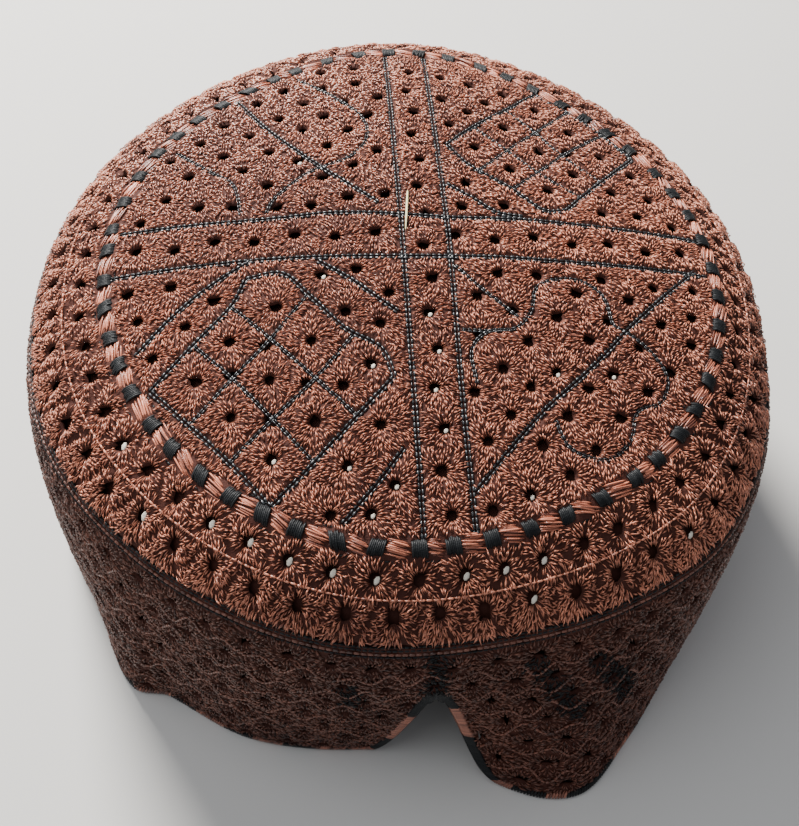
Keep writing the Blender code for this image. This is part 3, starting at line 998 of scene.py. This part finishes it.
# The seam: a double black chain in the corner, a copper ridge under it, and one more dark
# line; all on a narrow strip that rounds the corner from crown to wall. A line has its
# height, its wave, its chain, its thread, its slot and its tint
seamSpec = {"top": 71.2, "deep": 5.0, "inset": 3.0, "round": 2.3, "columns": 260,
            "front": (71.1, 65.4, 9), "frontSink": 0.3, "back": (66.5, 70.0),
            "backSink": 1.2, "waveLength": 9.0}
seamLines = {
    "seamChains": (70.3, 0.18, dict(mainChain, offsets=(-0.32, 0.32), radius=0.3, lift=0.1),
                   blackThread, "piping_chain", 0.5),
    "seamRidge": (69.0, 0.15, dict(mainChain, pitch=1.5, offsets=(0.0,), radius=0.4,
                                   lift=0.1, arch=0.3), shadedBandCopper, "crown_cloth", 0.6),
    "seamUnder": (68.0, 0.15, dict(thinChain, offsets=(0.0,), radius=0.3, lift=0.1),
                  blackThread, "piping_chain", 0.5),
}


# A quarter round: out with the root of the way down
def seamSurface(p):
    azimuth = rollUp(p[..., 0])
    down = np.clip((seamSpec["top"] - p[..., 1]) / seamSpec["deep"], 0, 1)
    radius = (seamAt(azimuth) - seamSpec["inset"]
              + seamSpec["round"] * np.sqrt(down * (2 - down)))
    return cylinderPoint(azimuth, radius, p[..., 1])


def makeSeam():
    columns = seamSpec["columns"]
    x = np.linspace(-wallPeriod / 2, wallPeriod / 2, columns + 1)
    section = [(height, seamSpec["frontSink"]) for height in np.linspace(*seamSpec["front"])]
    section += [(height, seamSpec["backSink"]) for height in seamSpec["back"]]
    rows = []
    for height, sink in section:
        flat = np.column_stack((x[:-1], np.full(columns, height)))
        rows.append(seamSurface(flat) - surfaceNormal(seamSurface, flat) * sink)
    faces = gridFaces(len(rows), columns, wrap=True, closeRows=True)
    place(makeObject("seamStrip", np.vstack(rows), faces, ground), "piping_chain",
          "seam_piping")
    for name, (height, wave, spec, thread, slot, tint) in seamLines.items():
        line = np.column_stack((x, height + wave * np.sin(x / seamSpec["waveLength"])))
        addChains(name, seamSurface, [line], spec, thread, slot, tint)


# Whipped edge: strands over the edge in blocks of black and of copper, whose ends are
# millimetres along the edge from the top of the notch. A row of the section under them
# holds how far it stands out and how deep in from the edge it lies
hemSpec = {"pitch": 0.6, "inner": 3.4, "outer": 0.1, "slant": 0.6, "lift": 0.35,
           "arch": 0.35, "radius": 0.38, "tint": (0.4, 0.25), "edge": (80, 300),
           "block": 8, "moreBlocks": 80,
           "leftEnds": (12, 32, 46, 61, 70), "rightEnds": (7, 24, 47, 52, 58.5, 62.5, 76),
           "section": ((-2.5, 0), (-2.9, 0.8), (-2.9, 2.2), (-2.5, 3.0), (0.0, 3.0),
                       (0.3, 2.2), (0.3, 0.8), (0.0, 0.2))}


def makeHem():
    spec = hemSpec
    edge = freeEdge(*spec["edge"])
    rows = []
    for out, depth in spec["section"]:
        azimuth, height = insetEdge(edge, depth).T
        rows.append(cylinderPoint(azimuth, wallRadius(azimuth, height) + out, height))
    faces = gridFaces(len(rows), len(edge), wrap=True, closeRows=True)
    place(makeObject("hemCord", np.vstack(rows), faces, ground), "binding", "hem_binding")
    flat = unroll(edge)
    line = resample(np.vstack((flat, flat[:1] + (wallPeriod, 0))), spec["pitch"])
    run = unit(np.gradient(line, axis=0))
    inward = np.column_stack((-run[:, 1], run[:, 0]))
    along = (np.arange(len(line)) - np.argmax(line[:, 1])) * spec["pitch"]
    more = spec["block"] * np.arange(1, spec["moreBlocks"])
    left, right = (np.append(spec[key], spec[key][-1] + more)
                   for key in ("leftEnds", "rightEnds"))
    block = np.where(along < 0, np.searchsorted(left, -along),
                     np.searchsorted(right, along)) % 2
    start = line + inward * spec["inner"] + run * spec["slant"]
    end = line + inward * spec["outer"]
    for name, color, material in (("hemBlack", 0, blackThread), ("hemCopper", 1, edgeCopper)):
        some = block == color
        place(strands(name, wallSurface, start[some], end[some], spec["lift"], spec["arch"],
                      spec["radius"], beadForm, material,
                      stitchTint(some.sum(), *spec["tint"])), "binding")


# The lining follows the wall and the crown on their inner side and ends in a fan
liningSpec = {"edge": (60, 160), "hemInset": 3.9, "wallTop": 67.4, "wallRows": 14,
              "below": 2.6, "thickness": 0.7, "shoulderShares": (0.65, 0.35, 0.0),
              "shoulderInset": 1.0, "crownShares": (0.92, 0.04, 12)}


def makeLining():
    spec = liningSpec
    edge = freeEdge(*spec["edge"])
    lower = insetEdge(edge, spec["hemInset"])
    turn = edge[:, 0]
    rows = []
    for t in np.linspace(1, 0, spec["wallRows"]):
        azimuth = turn + (lower[:, 0] - turn) * t
        height = spec["wallTop"] + (lower[:, 1] - spec["wallTop"]) * t
        radius = wallRadius(azimuth, height) - spec["below"]
        rows.append(cylinderPoint(azimuth, radius, height))
    ring, seam = ringAt(turn), seamAt(turn)
    radii = [ring + (seam - ring) * share - spec["shoulderInset"]
             for share in spec["shoulderShares"]]
    radii += [ring * share for share in np.linspace(*spec["crownShares"])]
    rows += [crownSurface(planPoint(turn, radius)) - (0, 0, spec["below"])
             for radius in radii]
    rows = rows[::-1]
    count = len(edge)
    points = np.vstack(rows)
    faces = gridFaces(len(rows), count, wrap=True)
    tip = points[:count].mean(0)
    tip[2] = points[:count, 2].max()
    j = np.arange(count)
    fan = np.column_stack((np.full(count, len(points)), j, (j + 1) % count))
    mesh = bpy.data.meshes.new("liningShell")
    mesh.from_pydata((np.vstack((points, tip)) * mm).tolist(), [],
                     faces.tolist() + fan.tolist())
    mesh.polygons.foreach_set("use_smooth", np.full(len(mesh.polygons), True))
    # its outer face, which shows through the eyelets, takes the dark ground colour as painted
    # shade in the holes; its inner face and rim are cream
    for material in (ground, cotton):
        mesh.materials.append(material)
    lining = bpy.data.objects.new("liningShell", mesh)
    bpy.context.scene.collection.objects.link(lining)
    shell = thicken(lining, spec["thickness"])
    shell.material_offset = shell.material_offset_rim = 1
    place(lining, "cotton", "lining")


# Painted light in some eyelets: a flat sliver of the cream lining raised into the hole, low in
# its right half where light through the hole falls on the lining, and wider where the eyelet
# is on the shoulder
litSliverSpec = {
    "crown": [(2, -21), (3, -30), (2, -39), (3, -49), (31, -34), (44, -33), (-31, -55),
              (-10, -34), (-21, -11), (-15, -57), (-5, -61), (24, -62), (-27, 25), (-10, -67)],
    "shoulder": [(-60, -62), (-46, -63), (-61, -48), (-38, -68), (-28, -73), (-19, -77),
                 (-9, -78), (9, -77), (18, -77), (26, -74), (29, -81), (62, -64)],
    "shoulderFrom": 74, "shoulderWidth": 0.9, "crownWidth": 0.65, "shift": (0.4, -0.25),
    "half": (0.5, 0.9), "lift": -0.35, "arch": 0.1, "girth": 0.75,
}
sliverForm = {"sides": 8, "flat": 0.25, "rows": [(0, 0, 0), (0.15, 0.6, 0.5), (0.5, 1, 1),
                                                 (0.85, 0.6, 0.5), (1, 0, 0)]}


def makeLitSlivers():
    spec = litSliverSpec
    wanted = np.array(spec["crown"] + spec["shoulder"], float)
    index = np.unique(nearestCentres(wanted, crownEyelets)[0])
    spots = crownEyelets[index] + spec["shift"]
    wide = np.where(np.hypot(*spots.T) > spec["shoulderFrom"], spec["shoulderWidth"],
                    spec["crownWidth"])
    half = spec["half"] * wide[:, None]
    place(strands("liningLitSlivers", crownSurface, spots - half, spots + half, spec["lift"],
                  spec["arch"], wide * spec["girth"], sliverForm, cotton, 0.5), "cotton")


# Black stitching above the notch: spokes about its tip, the longest upwards
finialSpec = {"tip": (6.5, 45.0), "spokes": 36, "length": 5.6, "spread": 1.9,
              "lengthSpread": 0.16, "sideShare": 0.65, "first": 0.4, "lift": 0.3,
              "arch": 0.4, "radius": 0.34, "tint": (0.3, 0.3)}


def makeBlackWork():
    spec = finialSpec
    tip = np.array(spec["tip"])
    lean = np.linspace(-1, 1, spec["spokes"]) * spec["spread"]
    reach = spec["length"] * (1 + rng.normal(0, spec["lengthSpread"], len(lean))) * (
        spec["sideShare"] + (1 - spec["sideShare"]) * np.cos(lean))
    direction = np.column_stack((np.sin(lean), np.cos(lean)))
    place(strands("notchFinial", wallSurface, tip + direction * spec["first"],
                  tip + direction * reach[:, None], spec["lift"], spec["arch"],
                  spec["radius"], cordForm, blackThread, stitchTint(len(lean), *spec["tint"])),
          "binding")


# One pale thread end that lies loose near the middle
looseSpec = {"start": (-1.2, 13.5), "end": (-2.0, 1.0), "lift": 0.9, "arch": 0.5,
             "radius": 0.3}
looseForm = {"sides": 6, "flat": 1.0,
             "rows": [(0, 0, 0), (0.03, 0.7, 0.1), (0.3, 1, 0.8), (0.5, 1, 1),
                      (0.7, 0.9, 0.8), (0.97, 0.5, 0.1), (1, 0, 0)]}


def makeLooseThread():
    start, end = (np.array([looseSpec[key]]) for key in ("start", "end"))
    material = threadMaterial("paleThread", (0.75, 0.68, 0.3), (0.9, 0.85, 0.5), 0.4,
                              tinted=False)
    place(strands("looseThread", crownSurface, start, end, looseSpec["lift"],
                  looseSpec["arch"], looseSpec["radius"], looseForm, material, 1), "cotton")


makeSeam()
makeHem()
makeLining()
makeLitSlivers()
makeBlackWork()
makeLooseThread()
print("seam, hem, lining and black work done")

# Floor, lights and camera
studio = {
    "cameraPlace": (-23.75, -201.9, 337.5),
    "focalPixels": 1362.0,
    "imageHeight": 826,
    "pitch": 57.2,
    "roll": 7.09,
    "yaw": 7.18,
    "floorReach": 1500,
    "floorDrop": 0.05,
    "floorColor": (0.62, 0.61, 0.58),
    "worldColor": (0.9, 0.92, 1.0),
    "worldStrength": 0.36,
    # a light has its name, its place in metres, its size, its power and its colour
    "lights": (("keyLight", (-0.36, 0.67, 0.67), 0.34, 36, (1.0, 0.97, 0.94)),
               ("fillLight", (-0.4, -0.1, 1.0), 0.8, 4, (0.93, 0.96, 1.0))),
    "lightTarget": (0, 0, 0.05),
}


def makeFloor():
    line = np.array((-studio["floorReach"], studio["floorReach"]))
    x, y = np.meshgrid(line, line, indexing="ij")
    points = np.stack((x, y, 0 * x - studio["floorDrop"]), -1).reshape(-1, 3)
    material = bpy.data.materials.new("paleFloor")
    material.use_nodes = True
    shader = material.node_tree.nodes["Principled BSDF"]
    shader.inputs["Base Color"].default_value = (*studio["floorColor"], 1)
    shader.inputs["Roughness"].default_value = 0.8
    floor = makeObject("floor", points, gridFaces(2, 2), material)


def addLight(name, location, size, power, color):
    light = bpy.data.lights.new(name, "AREA")
    light.shape = "DISK"
    light.size = size
    light.energy = power
    light.color = color
    thing = bpy.data.objects.new(name, light)
    thing.location = location
    aim = Vector(studio["lightTarget"]) - Vector(location)
    thing.rotation_euler = aim.to_track_quat("-Z", "Y").to_euler()
    bpy.context.scene.collection.objects.link(thing)


def makeCamera():
    yaw, pitch, roll = (math.radians(studio[key]) for key in ("yaw", "pitch", "roll"))
    forward = Vector((math.sin(yaw) * math.cos(pitch), math.cos(yaw) * math.cos(pitch),
                      -math.sin(pitch)))
    right = Vector((math.cos(yaw), -math.sin(yaw), 0))
    up = right.cross(forward)
    turned = right * math.cos(roll) + up * math.sin(roll)
    top = -right * math.sin(roll) + up * math.cos(roll)
    camera = bpy.data.cameras.new("camera")
    camera.sensor_width = 36
    camera.lens = studio["focalPixels"] * 36 / studio["imageHeight"]
    camera.clip_start = 0.01
    thing = bpy.data.objects.new("camera", camera)
    x, y, z = studio["cameraPlace"]
    matrix = Matrix((turned, top, -forward)).transposed().to_4x4()
    matrix.translation = Vector((x - middle[0], y - middle[1], z)) * mm
    thing.matrix_world = matrix
    bpy.context.scene.collection.objects.link(thing)
    bpy.context.scene.camera = thing


makeFloor()
for light in studio["lights"]:
    addLight(*light)
world = bpy.data.worlds.new("softRoom")
world.use_nodes = True
background = world.node_tree.nodes["Background"]
background.inputs["Color"].default_value = (*studio["worldColor"], 1)
background.inputs["Strength"].default_value = studio["worldStrength"]
bpy.context.scene.world = world
makeCamera()
print("stage done")
